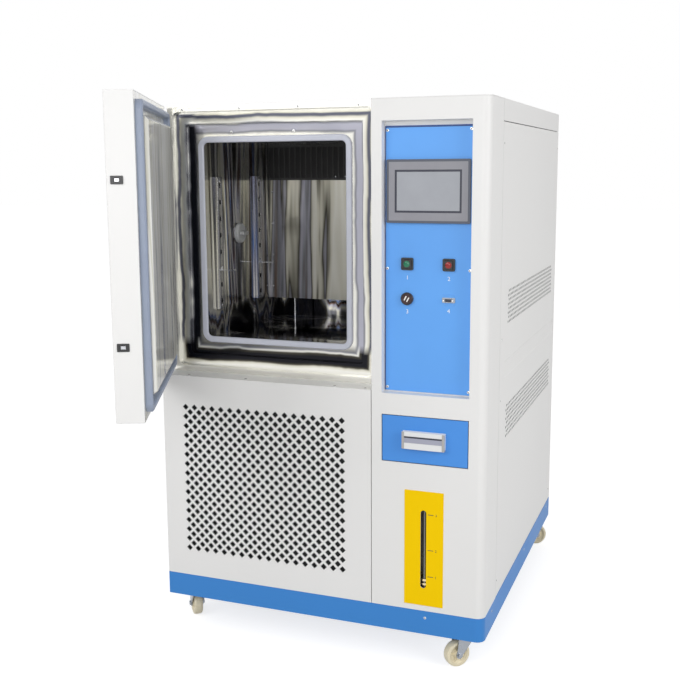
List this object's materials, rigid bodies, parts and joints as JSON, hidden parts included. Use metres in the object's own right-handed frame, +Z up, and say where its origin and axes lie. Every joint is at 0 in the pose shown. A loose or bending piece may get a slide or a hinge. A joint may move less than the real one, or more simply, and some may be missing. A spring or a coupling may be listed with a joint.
{
  "type": "environmental test chamber",
  "caption": "Temperature and humidity test chamber on casters: stepped stainless chamber with a swing door, touch-screen control column, water drawer and vented lower panel.",
  "frame": {"origin": "on the floor, under the middle of the cabinet's footprint", "axes": "+X to the right along the front, +Y from the front to the back, +Z up"},
  "size_m": [1.0588, 1.7295, 1.6],
  "materials": {
    "cabinet_paint": "warm white powder coat",
    "blue_paint": "blue powder coat",
    "yellow_plate": "yellow satin",
    "stainless": "polished stainless sheet",
    "zinc": "zinc plated",
    "foam": "rigid foam",
    "silicone": "grey blue silicone",
    "black_metal": "black",
    "black_plastic": "black",
    "grey_plastic": "grey satin",
    "screen_glass": "dark touch glass",
    "green_lens": "translucent green",
    "red_lens": "translucent red",
    "aluminium": "fins",
    "cream_tread": "cream nylon",
    "clear_tube": "clear hose",
    "tank_plastic": "natural",
    "board": "grey"
  },
  "bodies": {
    "cabinet": {"air_baffle": "stainless", "alarm_buzzer": "black_plastic", "base_tray": "blue_paint", "button_bezels": "black_plastic", "cable_gland": "black_plastic", "cable_port_sleeve": "stainless", "caster_plates": "zinc", "chamber_insulation": "foam", "chamber_liner": "stainless", "compressor": "black_metal", "condenser": "aluminium", "control_fascia": "cabinet_paint", "control_plate": "blue_paint", "data_port": "zinc", "drawer_cradle": "zinc", "electrical_board": "board", "evaporator": "aluminium", "fan_motor": "black_metal", "gauge_plate": "yellow_plate", "gauge_tube": "clear_tube", "grille_panel": "cabinet_paint", "heater": "stainless", "hinge_leaves_fixed": "stainless", "inner_frame": "zinc", "mouth_frame": "stainless", "mouth_gasket": "silicone", "outlet_grille": "black_metal", "rear_panel": "cabinet_paint", "screen_glass": "screen_glass", "screen_housing": "grey_plastic", "shelf_brackets": "stainless", "shelf_uprights": "stainless", "side_panel_left": "cabinet_paint", "side_panel_right": "cabinet_paint", "supply_tank": "tank_plastic", "top_cover": "cabinet_paint"},
    "door": {"door_skin": "cabinet_paint", "door_foam": "foam", "door_plug": "stainless", "door_gasket": "silicone", "hinge_leaves_door": "stainless", "latch_plates": "black_plastic"},
    "handle": {"door_handle": "black_metal"},
    "bolts": {"latch_bolts": "stainless"},
    "drawer": {"drawer_front": "blue_paint", "drawer_tray": "tank_plastic", "drawer_pull": "grey_plastic"},
    "green_button": {"green_button": "green_lens"},
    "red_button": {"red_button": "red_lens"},
    "port_plug": {"port_plug": "silicone"},
    "circulation_fan": {"fan_wheel": "aluminium"},
    "condenser_fan": {"condenser_fan": "black_plastic"},
    "fork_front_left": {"caster_fork_front_left": "zinc"},
    "wheel_front_left": {"caster_wheel_front_left": "cream_tread"},
    "fork_front_right": {"caster_fork_front_right": "zinc"},
    "wheel_front_right": {"caster_wheel_front_right": "cream_tread"},
    "fork_rear_left": {"caster_fork_rear_left": "zinc"},
    "wheel_rear_left": {"caster_wheel_rear_left": "cream_tread"},
    "fork_rear_right": {"caster_fork_rear_right": "zinc"},
    "wheel_rear_right": {"caster_wheel_rear_right": "cream_tread"}
  },
  "joints": [
    {"name": "door_swing", "type": "hinge", "parent": "cabinet", "child": "door", "pos_m": [-0.5105, -0.501, 1.202], "axis": [0, 0, -1], "range_deg": [-65.4, 49.6]},
    {"name": "handle_turn", "type": "hinge", "parent": "door", "child": "handle", "pos_m": [-0.30668, -1.08792, 1.202], "axis": [-0.9092, -0.4163, 0], "range_deg": [0, 60]},
    {"name": "bolt_slide", "type": "slide", "parent": "door", "child": "bolts", "axis": [0.4163, -0.9092, 0], "range_m": [0, 0.012]},
    {"name": "drawer_slide", "type": "slide", "parent": "cabinet", "child": "drawer", "axis": [0, -1, 0], "range_m": [0, 0.22]},
    {"name": "green_press", "type": "slide", "parent": "cabinet", "child": "green_button", "axis": [0, 1, 0], "range_m": [0, 0.003], "stiffness_N_per_m": 600},
    {"name": "red_press", "type": "slide", "parent": "cabinet", "child": "red_button", "axis": [0, 1, 0], "range_m": [0, 0.003], "stiffness_N_per_m": 600},
    {"name": "plug_pull", "type": "slide", "parent": "cabinet", "child": "port_plug", "axis": [1, 0, 0], "range_m": [0, 0.06]},
    {"name": "circulation_spin", "type": "hinge", "parent": "cabinet", "child": "circulation_fan", "pos_m": [-0.16525, 0.09, 1.39], "axis": [0, 1, 0], "continuous": true},
    {"name": "condenser_spin", "type": "hinge", "parent": "cabinet", "child": "condenser_fan", "pos_m": [-0.15, -0.35, 0.4], "axis": [0, 1, 0], "continuous": true},
    {"name": "swivel_front_left", "type": "hinge", "parent": "cabinet", "child": "fork_front_left", "pos_m": [-0.435, -0.495, 0.09], "axis": [0, 0, 1], "continuous": true},
    {"name": "roll_front_left", "type": "hinge", "parent": "fork_front_left", "child": "wheel_front_left", "pos_m": [-0.45428, -0.47202, 0.0375], "axis": [-0.766, -0.6428, 0], "continuous": true},
    {"name": "swivel_front_right", "type": "hinge", "parent": "cabinet", "child": "fork_front_right", "pos_m": [0.435, -0.495, 0.09], "axis": [0, 0, 1], "continuous": true},
    {"name": "roll_front_right", "type": "hinge", "parent": "fork_front_right", "child": "wheel_front_right", "pos_m": [0.41342, -0.51584, 0.0375], "axis": [0.6947, -0.7193, 0], "continuous": true},
    {"name": "swivel_rear_left", "type": "hinge", "parent": "cabinet", "child": "fork_rear_left", "pos_m": [-0.435, 0.495, 0.09], "axis": [0, 0, 1], "continuous": true},
    {"name": "roll_rear_left", "type": "hinge", "parent": "fork_rear_left", "child": "wheel_rear_left", "pos_m": [-0.42724, 0.52398, 0.0375], "axis": [-0.9659, 0.2588, 0], "continuous": true},
    {"name": "swivel_rear_right", "type": "hinge", "parent": "cabinet", "child": "fork_rear_right", "pos_m": [0.435, 0.495, 0.09], "axis": [0, 0, 1], "continuous": true},
    {"name": "roll_rear_right", "type": "hinge", "parent": "fork_rear_right", "child": "wheel_rear_right", "pos_m": [0.46219, 0.50768, 0.0375], "axis": [-0.4226, 0.9063, 0], "continuous": true}
  ],
  "couplings": [
    {"joint": "bolt_slide", "follows": "handle_turn", "m_per_rad": 0.011}
  ]
}
